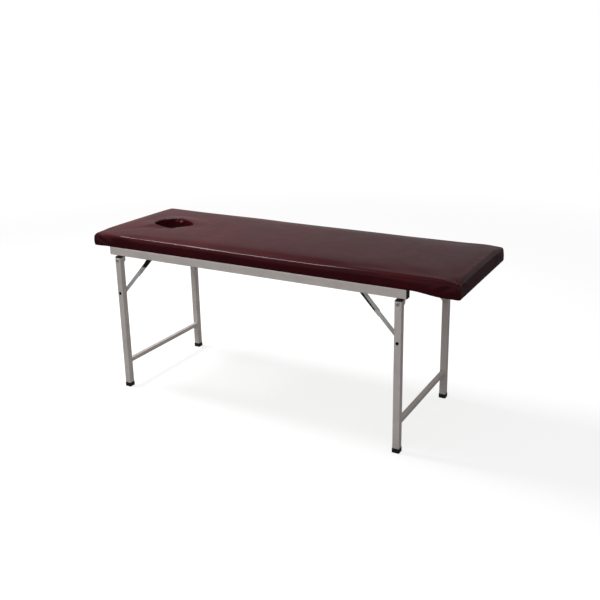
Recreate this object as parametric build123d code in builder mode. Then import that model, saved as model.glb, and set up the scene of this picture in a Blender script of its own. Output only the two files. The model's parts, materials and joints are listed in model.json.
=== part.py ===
from build123d import *
from math import atan2, cos, degrees, hypot, pi, sin, tan
import os

# Folding massage table, in millimetres.
# X runs from the head end (-X) to the foot end (+X), Y runs away from the near side, Z is up.
# The origin lies on the floor under the middle of the top.

# Upholstered top
pad_length = 1800
pad_width = 600
table_height = 766
pad_thickness = 59
pad_crown = 5
end_crown = 3
end_fall = 1.5
corner_radius = 17
shoulder_radius = 13
hem_radius = 4
hem_draw = 3
shoulder_draw = 1
belly_share = 0.45
belly_draw = 0.4
vinyl = 1.5
cover_gap = 0.3
wrap_width = 60
wrap_corner = 20
board_thickness = 12
board_gap = 0.5

# Face hole, a teardrop with its wide end to the head
brow_radius = 83
chin_radius = 35
brow_setback = 215
chin_setback = 323
cheek_radius = 250
rim_radius = 10
lining_step = 6
lining_flange = 25

# Top frame
rail_height = 38
rail_depth = 30
rail_wall = 1.8
rail_corner = 3
rail_side_setback = 2
rail_head_setback = 98
rail_foot_setback = 210
cross_height = 30
cross_width = 20
cross_wall = 1.5
cross_corner = 2.5
cross_count = 5
last_cross_setback = 90
plug_flange = 3
plug_depth = 15
plug_slip = 0.15
plug_edge = 0.8

# Legs
head_leg_setback = 139
foot_leg_setback = 246
leg_size = 30
leg_wall = 1.5
leg_corner = 3
leg_offset = 1
pivot_drop = 24
leg_head = 11
dome_gap = 1.5
dome_edge = 2
cap_depth = 5
crossbar_size = 20
crossbar_wall = 1.5
crossbar_corner = 2
crossbar_height = 130
foot_cap_height = 20
foot_cap_wall = 1.5
foot_cap_floor = 3
foot_cap_slip = 0.1
foot_cap_edge = 1.2

# Hinge plates and pivot bolts
plate_thickness = 4
plate_width = 38
plate_tongue = 17
plate_reach = 30
plate_corner = 4
running_clearance = 0.05
pivot_bolt_radius = 4
pivot_head_radius = 7.5
pivot_head_height = 4
head_edge = 1.5
head_gap = 0.2
washer_radius = 9
washer_gap = 0.1
pivot_nut_flats = 13
pivot_nut_height = 6.5
bolt_tip = 1.5
nut_collar_share = 0.3
nut_edge = 0.4

# Folding stays
stay_reach = 190
stay_rise = 43
stay_drop = 163
stay_setback = 0.5
link_width = 21
channel_wall = 1.5
bar_thickness = 4
bar_side_gap = 0.4
web_gap = 0.5
web_thickness = 1.8
flange_clear = 5
stop_length = 22
rib_width = 6
rib_depth = 1.2
rib_margin = 26
stay_pin_radius = 3
stay_collar_radius = 6.5
stay_head_radius = 6.5
stay_head_height = 2.5
stay_head_edge = 1.2
axial_gap = 0.1
rivet_rim_height = 0.8
pin_tail_radius = 5.5
pin_tail_height = 2
stay_bolt_head_radius = 6.5
stay_bolt_head_height = 3.5
stay_bolt_show = 0.2
stay_nut_flats = 10
stay_nut_height = 5
stay_nut_stub = 0.9
stay_washer_radius = 7.5
stay_washer_height = 1

# Board tabs and screws
tab_length = 30
tab_depth = 20
tab_thickness = 2.5
tab_corner = 4
tab_shares = (0.068, 0.336, 0.605, 0.906)
screw_radius = 2
screw_head_radius = 4.5
screw_head_height = 2.8
screw_bite = 9
screw_point = 3
screw_clearance = 0.1

# One overrun serves all cuts
overrun = 2

head_x = -pad_length / 2
foot_x = pad_length / 2
ends = {"head": head_x + head_leg_setback, "foot": foot_x - foot_leg_setback}
inward = {"head": 1, "foot": -1}
sides = {"near": -1, "far": 1}

frame_height = table_height - pad_thickness
board_top = frame_height + vinyl + board_thickness
pad_top = table_height + pad_crown
brow_x = head_x + brow_setback
chin_x = head_x + chin_setback
rail_head_x = head_x + rail_head_setback
rail_foot_x = foot_x - rail_foot_setback
rail_inner = pad_width / 2 - rail_side_setback - rail_depth
rail_bottom = frame_height - rail_height
rail_middle = frame_height - rail_height / 2
rail_line = rail_inner + rail_depth / 2
rail_length = rail_foot_x - rail_head_x
leg_inner = rail_inner + leg_offset
leg_outer = leg_inner + leg_size
leg_line = leg_inner + leg_size / 2
pivot_height = rail_bottom - pivot_drop
leg_top = pivot_height + leg_head
tab_line = rail_inner - tab_depth / 2
board_inset = hem_draw + hem_radius + board_gap
lining_top = table_height - rim_radius - lining_step

# Stay geometry in the plane of a leg: u runs in under the top, v runs up, both from the leg pivot.
# The links lie in one line when the leg stands, and the elbow comes to lie on the leg when it folds.
stay_span = hypot(stay_reach, stay_rise + stay_drop)
fold_offset = stay_reach - stay_drop
lower_length = (stay_span**2 - stay_rise**2 - fold_offset**2) / (2 * (stay_span - fold_offset))
upper_length = stay_span - lower_length
stay_angle = atan2(-stay_rise - stay_drop, -stay_reach)
elbow_u = stay_reach + upper_length * cos(stay_angle)
elbow_v = stay_rise + upper_length * sin(stay_angle)
folded_angle = atan2(-stay_rise, lower_length - fold_offset)
elbow_opening = -folded_angle

link_radius = link_width / 2
pocket_radius = link_radius - channel_wall
bar_radius = pocket_radius - bar_side_gap
web_face = stay_setback + bar_thickness + web_gap
channel_depth = bar_thickness + web_gap + web_thickness
flange_cut = (link_radius + bar_radius / cos(elbow_opening)) / tan(elbow_opening) + flange_clear

os.makedirs("parts", exist_ok=True)


def save(part, name):
    """Label a finished piece and write it to its own file."""
    part.label = name
    export_step(part, f"parts/{name}.step")


def leg_plane(end, side, setback, u=0, v=0, turn=0):
    """Upright plane at a leg, setback from the rail's inner face towards the middle of the table.

    Its x runs in under the top and its y runs up, turned by an angle about the point (u, v).
    """
    run = inward[end]
    origin = (ends[end] + run * u, sides[side] * (rail_inner - setback), pivot_height + v)
    return Plane(origin=origin, x_dir=(run * cos(turn), 0, sin(turn)), z_dir=(0, -run, 0))


def to_middle(end, side):
    """Sign of an extrusion from a leg plane towards the middle of the table."""
    return inward[end] * sides[side]


def disc(end, side, setback, radius, height, u=0, v=0):
    """Round solid on a leg plane, from setback on towards the middle."""
    with BuildPart() as round_piece:
        with BuildSketch(leg_plane(end, side, setback, u, v)):
            Circle(radius)
        extrude(amount=height * to_middle(end, side))
    return round_piece.part


def domed_head(end, side, setback, radius, height, edge, u=0, v=0):
    """Rivet or bolt head that stands out from setback, rounded on its free face.

    A positive height stands towards the middle, a negative one outwards.
    """
    with BuildPart() as head:
        with BuildSketch(leg_plane(end, side, setback, u, v)):
            Circle(radius)
        extrude(amount=height * to_middle(end, side))
        free = sides[side] * (rail_inner - setback - height)
        rims = head.edges().filter_by(GeomType.CIRCLE)
        fillet([rim for rim in rims if abs(rim.center().Y - free) < edge], edge)
    return head.part


def lock_nut(end, side, setback, flats, height, bore, u=0, v=0):
    """Hexagon nut with a round collar on its free face."""
    collar = height * nut_collar_share
    with BuildPart() as nut:
        with BuildSketch(leg_plane(end, side, setback, u, v)):
            RegularPolygon(flats / 2, 6, major_radius=False)
        extrude(amount=(height - collar) * to_middle(end, side))
        with BuildSketch(leg_plane(end, side, setback + height - collar, u, v)):
            Circle(flats / 2 - nut_edge)
        extrude(amount=collar * to_middle(end, side))
        with BuildSketch(leg_plane(end, side, setback, u, v)):
            Circle(bore)
        extrude(amount=height * to_middle(end, side), mode=Mode.SUBTRACT)
    return nut.part


def face_outline(height, grow):
    """Teardrop outline of the face hole at a height, grown outwards all round.

    Each cheek is an arc that touches the brow arc and the chin arc from outside.
    """
    brow = brow_radius + grow
    chin = chin_radius + grow
    cheek = cheek_radius + grow
    centre_gap = chin_x - brow_x
    cheek_run = ((cheek - brow) ** 2 - (cheek - chin) ** 2 + centre_gap**2) / (2 * centre_gap)
    cheek_centre = Vector(brow_x + cheek_run, -(((cheek - brow) ** 2 - cheek_run**2) ** 0.5))
    brow_end = cheek_centre + (Vector(brow_x, 0) - cheek_centre).normalized() * cheek
    chin_end = cheek_centre + (Vector(chin_x, 0) - cheek_centre).normalized() * cheek
    cheek_top = cheek_centre + ((brow_end + chin_end) / 2 - cheek_centre).normalized() * cheek
    with BuildSketch(Plane.XY.offset(height)) as outline:
        with BuildLine():
            ThreePointArc((brow_end.X, -brow_end.Y), (brow_x - brow, 0), (brow_end.X, brow_end.Y))
            ThreePointArc((brow_end.X, brow_end.Y), (cheek_top.X, cheek_top.Y), (chin_end.X, chin_end.Y))
            ThreePointArc((chin_end.X, chin_end.Y), (chin_x + chin, 0), (chin_end.X, -chin_end.Y))
            ThreePointArc((chin_end.X, -chin_end.Y), (cheek_top.X, -cheek_top.Y), (brow_end.X, -brow_end.Y))
        make_face()
    return outline.sketch


def crown_form(inset):
    """Block with a crowned top, wider than the pad, that shapes its top face."""
    half = pad_width / 2 + overrun
    reach = pad_length / 2 + overrun
    floor = frame_height - overrun
    edge = table_height - inset
    stations = ((-reach, end_fall, end_crown), (0, 0, pad_crown), (reach, end_fall, end_crown))
    with BuildPart() as form:
        for place, fall, rise in stations:
            with BuildSketch(Plane.YZ.offset(place)):
                with BuildLine():
                    Line((-half, floor), (half, floor))
                    Line((half, floor), (half, edge - fall))
                    ThreePointArc((half, edge - fall), (0, edge - fall + rise), (-half, edge - fall))
                    Line((-half, edge - fall), (-half, floor))
                make_face()
        loft()
    return form.part


def cushion(inset):
    """The pad's crowned form with drawn-in sides and its face hole, set in all round by inset."""
    form = crown_form(inset)
    hole = face_outline(frame_height - overrun, inset)
    belly = frame_height + belly_share * pad_thickness
    levels = ((frame_height + inset, hem_draw), (belly, belly_draw), (pad_top + overrun, shoulder_draw))
    with BuildPart() as body:
        for level, draw in levels:
            shrink = 2 * (inset + draw)
            with BuildSketch(Plane.XY.offset(level)):
                RectangleRounded(pad_length - shrink, pad_width - shrink, corner_radius - inset)
        loft()
        add(form, mode=Mode.INTERSECT)
        fillet(body.faces().sort_by(Axis.Z)[-1].edges(), shoulder_radius - inset)
        fillet(body.faces().sort_by(Axis.Z)[0].edges(), hem_radius - inset)
        extrude(hole, amount=pad_thickness + pad_crown + 2 * overrun, mode=Mode.SUBTRACT)
        fillet(body.faces().sort_by(Axis.Z)[-1].inner_wires()[0].edges(), rim_radius - inset)
    return body.part


# Places of the board tabs and their screws
tab_places = [rail_head_x + share * rail_length for share in tab_shares]
screw_places = [(x, sign * tab_line) for x in tab_places for sign in sides.values()]

# Vinyl cover: crowned top, sides, hem under the board and the lip of the face hole
cover_form = cushion(0)
cover_space = cushion(vinyl)
lining_zone = face_outline(frame_height - overrun, vinyl)
with BuildPart() as vinyl_cover:
    add(cover_form)
    add(cover_space, mode=Mode.SUBTRACT)
    with BuildSketch(Plane.XY.offset(frame_height - overrun)):
        RectangleRounded(pad_length - 2 * wrap_width, pad_width - 2 * wrap_width, wrap_corner)
    extrude(amount=vinyl + overrun, mode=Mode.SUBTRACT)
    extrude(lining_zone, amount=lining_top - frame_height + overrun, mode=Mode.SUBTRACT)
    with BuildSketch(Plane.XY.offset(frame_height - overrun)):
        with Locations(*screw_places):
            Circle(screw_radius + screw_clearance)
    extrude(amount=vinyl + overrun, mode=Mode.SUBTRACT)
save(vinyl_cover.part, "vinyl_cover")

# Lining sewn down the face hole, with a flange stapled under the board
lining_outer = face_outline(frame_height + vinyl, vinyl)
lining_bore = face_outline(frame_height - overrun, 0)
lining_skirt = face_outline(frame_height, lining_flange)
with BuildPart() as face_hole_lining:
    extrude(lining_outer, amount=lining_top - frame_height - vinyl)
    extrude(lining_skirt, amount=vinyl)
    extrude(lining_bore, amount=pad_thickness + pad_crown + 2 * overrun, mode=Mode.SUBTRACT)
save(face_hole_lining.part, "face_hole_lining")

# Foam core on the board
foam_form = cushion(vinyl + cover_gap)
with BuildPart() as foam_core:
    add(foam_form)
    with BuildSketch(Plane.XY.offset(board_top)):
        Rectangle(pad_length, pad_width)
    extrude(amount=-pad_thickness, mode=Mode.SUBTRACT)
save(foam_core.part, "foam_core")

# Plywood board that carries the foam
board_hole = face_outline(frame_height, vinyl + cover_gap)
with BuildPart() as base_board:
    with BuildSketch(Plane.XY.offset(frame_height + vinyl)):
        shrink = 2 * board_inset
        RectangleRounded(pad_length - shrink, pad_width - shrink, corner_radius - hem_draw)
    extrude(amount=board_thickness)
    extrude(board_hole, amount=pad_thickness, mode=Mode.SUBTRACT)
    with BuildSketch(Plane.XY.offset(frame_height + vinyl)):
        with Locations(*screw_places):
            Circle(screw_radius + screw_clearance)
    extrude(amount=screw_bite + screw_clearance, mode=Mode.SUBTRACT)
save(base_board.part, "base_board")

# Side rails, with the holes of the stay pins in their inner walls
for side, sign in sides.items():
    with BuildPart() as rail:
        with BuildSketch(Plane(origin=(rail_head_x + plug_flange, sign * rail_line, rail_middle),
                               x_dir=(0, 1, 0), z_dir=(1, 0, 0))):
            RectangleRounded(rail_depth, rail_height, rail_corner)
            RectangleRounded(rail_depth - 2 * rail_wall, rail_height - 2 * rail_wall,
                             rail_corner - rail_wall, mode=Mode.SUBTRACT)
        extrude(amount=rail_length - 2 * plug_flange)
        for end in ends:
            with BuildSketch(leg_plane(end, side, overrun, stay_reach, stay_rise)):
                Circle(stay_pin_radius + running_clearance)
            extrude(amount=-(rail_wall + 2 * overrun) * to_middle(end, side), mode=Mode.SUBTRACT)
    save(rail.part, f"{side}_rail")

# Plugs in the open rail ends
with BuildPart() as rail_plugs:
    for sign in sides.values():
        for place, run in ((rail_head_x, 1), (rail_foot_x, -1)):
            face = (place, sign * rail_line, rail_middle)
            mouth = (place + run * plug_flange, sign * rail_line, rail_middle)
            with BuildSketch(Plane(origin=face, x_dir=(0, 1, 0), z_dir=(run, 0, 0))):
                RectangleRounded(rail_depth, rail_height, rail_corner)
            extrude(amount=plug_flange)
            with BuildSketch(Plane(origin=mouth, x_dir=(0, 1, 0), z_dir=(run, 0, 0))):
                shrink = 2 * (rail_wall + plug_slip)
                RectangleRounded(rail_depth - shrink, rail_height - shrink, rail_corner - rail_wall)
            extrude(amount=plug_depth)
    outer_faces = rail_plugs.faces().filter_by(Axis.X).group_by(SortBy.AREA)[-1]
    fillet([edge for face in outer_faces for edge in face.edges()], plug_edge)
save(rail_plugs.part, "rail_plugs")

# Cross tubes between the rails, the first flush with the rails' head end
first_cross = rail_head_x + cross_width / 2
cross_pitch = (rail_foot_x - last_cross_setback - first_cross) / (cross_count - 1)
for index in range(cross_count):
    start = (first_cross + index * cross_pitch, -rail_inner, frame_height - cross_height / 2)
    with BuildPart() as cross_tube:
        with BuildSketch(Plane(origin=start, x_dir=(1, 0, 0), z_dir=(0, 1, 0))):
            RectangleRounded(cross_width, cross_height, cross_corner)
            RectangleRounded(cross_width - 2 * cross_wall, cross_height - 2 * cross_wall,
                             cross_corner - cross_wall, mode=Mode.SUBTRACT)
        extrude(amount=2 * rail_inner)
    save(cross_tube.part, f"cross_tube_{index + 1}")

# Tabs on the rails, screwed up into the board
with BuildPart() as board_tabs:
    with BuildSketch(Plane.XY.offset(frame_height - tab_thickness)):
        with Locations(*screw_places):
            Rectangle(tab_length, tab_depth)
            Circle(screw_radius + screw_clearance, mode=Mode.SUBTRACT)
    extrude(amount=tab_thickness)
    free_edges = board_tabs.edges().filter_by(Axis.Z)
    fillet([edge for edge in free_edges if abs(edge.center().Y) < tab_line - tab_depth / 4
            and edge.geom_type == GeomType.LINE], tab_corner)
save(board_tabs.part, "board_tabs")

screw_reach = tab_thickness + vinyl + screw_bite
screw_profile = (
    (0, -screw_head_height),
    (screw_head_radius / 2, -screw_head_height),
    (screw_head_radius, -screw_head_height / 2),
    (screw_head_radius, 0),
    (screw_radius, 0),
    (screw_radius, screw_reach - screw_point),
    (screw_radius / 2, screw_reach),
    (0, screw_reach),
)
with BuildPart() as board_screws:
    for x, y in screw_places:
        seat = (x, y, frame_height - tab_thickness)
        with BuildSketch(Plane(origin=seat, x_dir=(1, 0, 0), z_dir=(0, -1, 0))):
            with BuildLine():
                Polyline(*screw_profile, close=True)
            make_face()
        revolve(axis=Axis((x, y, 0), (0, 0, 1)))
save(board_screws.part, "board_screws")

# Hinge plates welded to the rails' inner faces
for end in ends:
    for side in sides:
        with BuildPart() as hinge_plate:
            with BuildSketch(leg_plane(end, side, 0)):
                with BuildLine():
                    half = plate_width / 2
                    top = pivot_drop + plate_reach
                    Line((-half, pivot_drop), (-half, top))
                    Line((-half, top), (half, top))
                    Line((half, top), (half, pivot_drop))
                    Line((half, pivot_drop), (plate_tongue, 0))
                    ThreePointArc((plate_tongue, 0), (0, -plate_tongue), (-plate_tongue, 0))
                    Line((-plate_tongue, 0), (-half, pivot_drop))
                make_face()
                Circle(pivot_bolt_radius + running_clearance, mode=Mode.SUBTRACT)
            extrude(amount=plate_thickness * to_middle(end, side))
            upright = hinge_plate.edges().filter_by(Axis.Y).sort_by(Axis.Z)[-2:]
            fillet(upright, plate_corner)
        save(hinge_plate.part, f"{end}_{side}_hinge_plate")

# Pivot bolts, with a washer between leg and plate and a lock nut behind the plate
bolt_run = leg_size + leg_offset + head_gap + plate_thickness + pivot_nut_height + bolt_tip
with BuildPart() as pivot_bolts:
    for end in ends:
        for side in sides:
            seat = -leg_offset - leg_size - head_gap
            add(domed_head(end, side, seat, pivot_head_radius, -pivot_head_height, head_edge))
            add(disc(end, side, seat, pivot_bolt_radius, bolt_run))
save(pivot_bolts.part, "pivot_bolts")

with BuildPart() as pivot_washers:
    for end in ends:
        for side in sides:
            bore = pivot_bolt_radius + running_clearance
            add(disc(end, side, washer_gap - leg_offset, washer_radius, leg_offset - washer_gap))
            add(disc(end, side, -leg_offset, bore, leg_offset), mode=Mode.SUBTRACT)
save(pivot_washers.part, "pivot_washers")

with BuildPart() as pivot_nuts:
    for end in ends:
        for side in sides:
            add(lock_nut(end, side, plate_thickness, pivot_nut_flats, pivot_nut_height,
                         pivot_bolt_radius + running_clearance))
save(pivot_nuts.part, "pivot_nuts")

# Collared pins that carry the upper ends of the stays, clenched inside the rails
with BuildPart() as stay_pins:
    for end in ends:
        for side in sides:
            head_seat = web_face + web_thickness + axial_gap
            tail_seat = -rail_wall - pin_tail_height
            upper_eye = {"u": stay_reach, "v": stay_rise}
            add(disc(end, side, tail_seat, pin_tail_radius, pin_tail_height, **upper_eye))
            add(disc(end, side, -rail_wall, stay_pin_radius, rail_wall + head_seat, **upper_eye))
            add(disc(end, side, 0, stay_collar_radius, web_face - axial_gap, **upper_eye))
            add(domed_head(end, side, head_seat, stay_head_radius, stay_head_height,
                           stay_head_edge, **upper_eye))
save(stay_pins.part, "stay_pins")

# Leg pairs
for end, leg_x in ends.items():
    for side, sign in sides.items():
        with BuildPart() as leg:
            with BuildSketch(Plane.XY.offset(foot_cap_floor)):
                with Locations((leg_x, sign * leg_line)):
                    RectangleRounded(leg_size, leg_size, leg_corner)
                    RectangleRounded(leg_size - 2 * leg_wall, leg_size - 2 * leg_wall,
                                     leg_corner - leg_wall, mode=Mode.SUBTRACT)
            extrude(amount=leg_top - foot_cap_floor)
            for drop, radius in ((0, pivot_bolt_radius), (-stay_drop, stay_pin_radius)):
                with BuildSketch(leg_plane(end, side, overrun, 0, drop)):
                    Circle(radius + running_clearance)
                bore_depth = leg_offset + leg_size + 2 * overrun
                extrude(amount=-bore_depth * to_middle(end, side), mode=Mode.SUBTRACT)
        save(leg.part, f"{end}_{side}_leg")

    start = (leg_x, -leg_inner, crossbar_height)
    with BuildPart() as crossbar:
        with BuildSketch(Plane(origin=start, x_dir=(1, 0, 0), z_dir=(0, 1, 0))):
            RectangleRounded(crossbar_size, crossbar_size, crossbar_corner)
            RectangleRounded(crossbar_size - 2 * crossbar_wall, crossbar_size - 2 * crossbar_wall,
                             crossbar_corner - crossbar_wall, mode=Mode.SUBTRACT)
        extrude(amount=2 * leg_inner)
    save(crossbar.part, f"{end}_crossbar")

    # Domed plugs, round enough to pass under the rail as the leg turns
    with BuildPart() as leg_plugs:
        for side, sign in sides.items():
            dome = pivot_drop - dome_gap
            half = leg_size / 2
            with BuildSketch(leg_plane(end, side, -leg_offset)):
                with BuildLine():
                    Line((-half, leg_head), (half, leg_head))
                    ThreePointArc((half, leg_head), (0, dome), (-half, leg_head))
                make_face()
            extrude(amount=-leg_size * to_middle(end, side))
            bore = leg_size - 2 * (leg_wall + plug_slip)
            with BuildSketch(Plane.XY.offset(leg_top)):
                with Locations((leg_x, sign * leg_line)):
                    RectangleRounded(bore, bore, leg_corner - leg_wall)
            extrude(amount=-cap_depth)
        arcs = [edge for edge in leg_plugs.edges().filter_by(GeomType.CIRCLE) if edge.center().Z > leg_top]
        fillet(arcs, dome_edge)
    save(leg_plugs.part, f"{end}_leg_plugs")

    with BuildPart() as foot_caps:
        outer = leg_size + 2 * (foot_cap_wall + foot_cap_slip)
        for sign in sides.values():
            with BuildSketch(Plane.XY):
                with Locations((leg_x, sign * leg_line)):
                    RectangleRounded(outer, outer, leg_corner + foot_cap_wall)
            extrude(amount=foot_cap_height)
            with BuildSketch(Plane.XY.offset(foot_cap_floor)):
                with Locations((leg_x, sign * leg_line)):
                    RectangleRounded(leg_size + 2 * foot_cap_slip, leg_size + 2 * foot_cap_slip, leg_corner)
            extrude(amount=foot_cap_height, mode=Mode.SUBTRACT)
        fillet(foot_caps.faces().sort_by(Axis.Z)[0].edges() + foot_caps.faces().sort_by(Axis.Z)[1].edges(),
               foot_cap_edge)
    save(foot_caps.part, f"{end}_foot_caps")

    # Bolts through the legs at the lower ends of the stays
    with BuildPart() as stay_bolts:
        for side in sides:
            seat = -leg_offset - leg_size
            head = (stay_bolt_head_radius, -stay_bolt_head_height, head_edge)
            add(domed_head(end, side, seat, *head, v=-stay_drop))
            add(disc(end, side, seat, stay_pin_radius, leg_size + stay_bolt_show, v=-stay_drop))
    save(stay_bolts.part, f"{end}_stay_bolts")

# Folding stays: a pressed channel above, a ribbed bar below, and the rivet that joins them.
# Near the elbow the channel has one flange only, so the bar can swing back along it;
# that flange runs on past the rivet, and the bar comes to rest against it when the stay is straight.
for end in ends:
    for side in sides:
        along = {"u": stay_reach, "v": stay_rise, "turn": stay_angle}
        with BuildPart() as upper_link:
            with BuildSketch(leg_plane(end, side, stay_setback, **along)):
                with Locations((upper_length / 2, 0)):
                    SlotCenterToCenter(upper_length, link_width)
            extrude(amount=channel_depth * to_middle(end, side))
            with BuildSketch(leg_plane(end, side, stay_setback, **along)):
                with Locations((upper_length + stop_length / 2, link_radius - channel_wall / 2)):
                    Rectangle(stop_length, channel_wall)
            extrude(amount=(bar_thickness + web_gap) * to_middle(end, side))
            with BuildSketch(leg_plane(end, side, stay_setback - overrun, **along)):
                with Locations((upper_length / 2, 0)):
                    SlotCenterToCenter(upper_length, 2 * pocket_radius)
                with Locations((upper_length - flange_cut, pocket_radius)):
                    Rectangle(flange_cut + 2 * link_width, 2 * link_width, align=(Align.MIN, Align.MAX))
            extrude(amount=(bar_thickness + web_gap + overrun) * to_middle(end, side), mode=Mode.SUBTRACT)
            with BuildSketch(leg_plane(end, side, web_face, **along)):
                with Locations((0, 0), (upper_length, 0)):
                    Circle(stay_pin_radius + running_clearance)
            extrude(amount=web_thickness * to_middle(end, side), mode=Mode.SUBTRACT)
        save(upper_link.part, f"{end}_{side}_upper_link")

        elbow = {"u": elbow_u, "v": elbow_v}
        with BuildPart() as elbow_rivet:
            web_back = web_face + web_thickness
            rim = stay_setback - axial_gap - rivet_rim_height
            add(disc(end, side, rim, stay_head_radius, rivet_rim_height, **elbow))
            add(disc(end, side, rim, stay_pin_radius, web_back - rim, **elbow))
            add(domed_head(end, side, web_back, stay_head_radius, stay_head_height,
                           stay_head_edge, **elbow))
        save(elbow_rivet.part, f"{end}_{side}_elbow_rivet")

        low = {"u": elbow_u, "v": elbow_v, "turn": stay_angle}
        with BuildPart() as lower_link:
            with BuildSketch(leg_plane(end, side, stay_setback, **low)):
                with Locations((lower_length / 2, 0)):
                    SlotCenterToCenter(lower_length, 2 * bar_radius)
                with Locations((0, 0), (lower_length, 0)):
                    Circle(stay_pin_radius + running_clearance, mode=Mode.SUBTRACT)
            extrude(amount=bar_thickness * to_middle(end, side))
            with BuildSketch(leg_plane(end, side, stay_setback, **low)):
                with Locations((lower_length / 2, 0)):
                    SlotOverall(lower_length - 2 * rib_margin, rib_width)
            extrude(amount=rib_depth * to_middle(end, side), mode=Mode.SUBTRACT)
        save(lower_link.part, f"{end}_{side}_lower_link")

        with BuildPart() as stay_nut:
            bar_back = stay_setback + bar_thickness
            nut_back = bar_back + stay_washer_height + stay_nut_height
            stub = stay_setback - stay_nut_stub
            add(disc(end, side, bar_back, stay_washer_radius, stay_washer_height, v=-stay_drop))
            add(lock_nut(end, side, bar_back + stay_washer_height, stay_nut_flats, stay_nut_height,
                         stay_pin_radius, v=-stay_drop))
            add(disc(end, side, stub, stay_pin_radius, nut_back + bolt_tip - stub, v=-stay_drop))
        save(stay_nut.part, f"{end}_{side}_stay_nut")

# Angles that the joints turn through while a leg folds by a right angle
print("upper link turns", round(degrees(folded_angle - stay_angle), 4))
print("elbow turns", round(-degrees(pi + folded_angle), 4))
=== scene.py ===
import json
import math

import bmesh
import bpy
import numpy as np
from mathutils import Matrix, Vector
from mathutils.bvhtree import BVHTree


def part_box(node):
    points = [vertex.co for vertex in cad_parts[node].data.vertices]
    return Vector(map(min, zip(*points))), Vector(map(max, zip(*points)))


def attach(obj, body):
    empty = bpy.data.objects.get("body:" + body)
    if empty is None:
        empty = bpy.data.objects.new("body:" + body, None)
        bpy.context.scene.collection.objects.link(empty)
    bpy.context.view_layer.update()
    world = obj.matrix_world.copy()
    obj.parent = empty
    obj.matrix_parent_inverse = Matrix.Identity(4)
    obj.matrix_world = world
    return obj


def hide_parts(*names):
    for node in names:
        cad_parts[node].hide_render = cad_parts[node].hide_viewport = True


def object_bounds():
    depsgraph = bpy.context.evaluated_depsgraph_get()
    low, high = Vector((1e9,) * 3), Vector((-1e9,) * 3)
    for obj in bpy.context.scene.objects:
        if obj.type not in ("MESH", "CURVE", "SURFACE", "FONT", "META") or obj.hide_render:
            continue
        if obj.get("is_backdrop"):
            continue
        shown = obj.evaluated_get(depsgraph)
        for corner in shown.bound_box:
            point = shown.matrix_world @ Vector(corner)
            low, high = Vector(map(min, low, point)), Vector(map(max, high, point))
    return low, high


# Folding massage table, in metres, in the frame of the solids: X to the foot end, Y to the far side, Z up
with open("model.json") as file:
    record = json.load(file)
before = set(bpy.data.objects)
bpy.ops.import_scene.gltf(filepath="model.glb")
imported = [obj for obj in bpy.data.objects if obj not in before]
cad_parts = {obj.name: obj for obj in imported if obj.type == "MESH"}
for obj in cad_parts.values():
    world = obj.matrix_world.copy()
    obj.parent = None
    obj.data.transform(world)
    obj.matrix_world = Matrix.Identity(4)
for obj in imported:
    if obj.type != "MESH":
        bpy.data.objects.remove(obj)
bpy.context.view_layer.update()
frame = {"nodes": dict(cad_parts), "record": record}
NODES = frame["nodes"]
RNG = np.random.default_rng(7)


# Camera, fitted to the straight edges of the photographed table

IMAGE_SIZE = 600
FOCAL_PIXELS = 792.5566
CENTRE_PIXEL = (304.6628, 262.4145)
CAMERA_PLACE = (1.7474, -3.0038, 1.6697)
CAMERA_YAW = -0.5071
CAMERA_PITCH = 0.2852
CAMERA_ROLL = -0.0172
SENSOR = 36.0
CLIP_END = 200


def make_camera():
    """Camera at the photograph's place and angle."""
    yaw, pitch, roll = CAMERA_YAW, CAMERA_PITCH, CAMERA_ROLL
    ahead = Vector((math.sin(yaw) * math.cos(pitch), math.cos(yaw) * math.cos(pitch), -math.sin(pitch)))
    right = Vector((math.cos(yaw), -math.sin(yaw), 0))
    up = right.cross(ahead)
    right, up = (
        math.cos(roll) * right + math.sin(roll) * up,
        -math.sin(roll) * right + math.cos(roll) * up,
    )
    data = bpy.data.cameras.new("camera")
    data.sensor_width = SENSOR
    data.lens = FOCAL_PIXELS / IMAGE_SIZE * SENSOR
    data.shift_x = (IMAGE_SIZE / 2 - CENTRE_PIXEL[0]) / IMAGE_SIZE
    data.shift_y = (CENTRE_PIXEL[1] - IMAGE_SIZE / 2) / IMAGE_SIZE
    data.clip_end = CLIP_END
    camera = bpy.data.objects.new("camera", data)
    turn = Matrix((right, up, -ahead)).transposed().to_4x4()
    camera.matrix_world = Matrix.Translation(CAMERA_PLACE) @ turn
    bpy.context.collection.objects.link(camera)
    bpy.context.scene.camera = camera


# Helpers for shader nodes

MIX_SHARE, MIX_FIRST, MIX_SECOND, MIX_RESULT = 0, 6, 7, 2


def make_material(name):
    """New material with its node tree and main shader."""
    material = bpy.data.materials.new(name)
    material.use_nodes = True
    return material, material.node_tree, material.node_tree.nodes["Principled BSDF"]


def add_node(tree, kind, inputs=None, **settings):
    """Node of a kind, with its settings and input values."""
    made = tree.nodes.new("ShaderNode" + kind)
    for key, value in settings.items():
        setattr(made, key, value)
    for key, value in (inputs or {}).items():
        if isinstance(value, bpy.types.NodeSocket):
            tree.links.new(value, made.inputs[key])
        else:
            made.inputs[key].default_value = value
    return made


def object_place(tree):
    """Place in the object's own coordinates."""
    return add_node(tree, "TexCoord").outputs["Object"]


def stretched(tree, scale):
    """Object coordinates, scaled per axis."""
    return add_node(tree, "Mapping", {"Vector": object_place(tree), "Scale": scale}).outputs["Vector"]


def noise_value(tree, scale, detail=3.0, rough=0.5, stretch=(1, 1, 1), distortion=0.0):
    """Noise value over the object, scale in waves per metre."""
    inputs = {"Vector": stretched(tree, stretch), "Scale": scale, "Detail": detail, "Roughness": rough,
              "Distortion": distortion}
    return add_node(tree, "TexNoise", inputs).outputs["Fac"]


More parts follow.
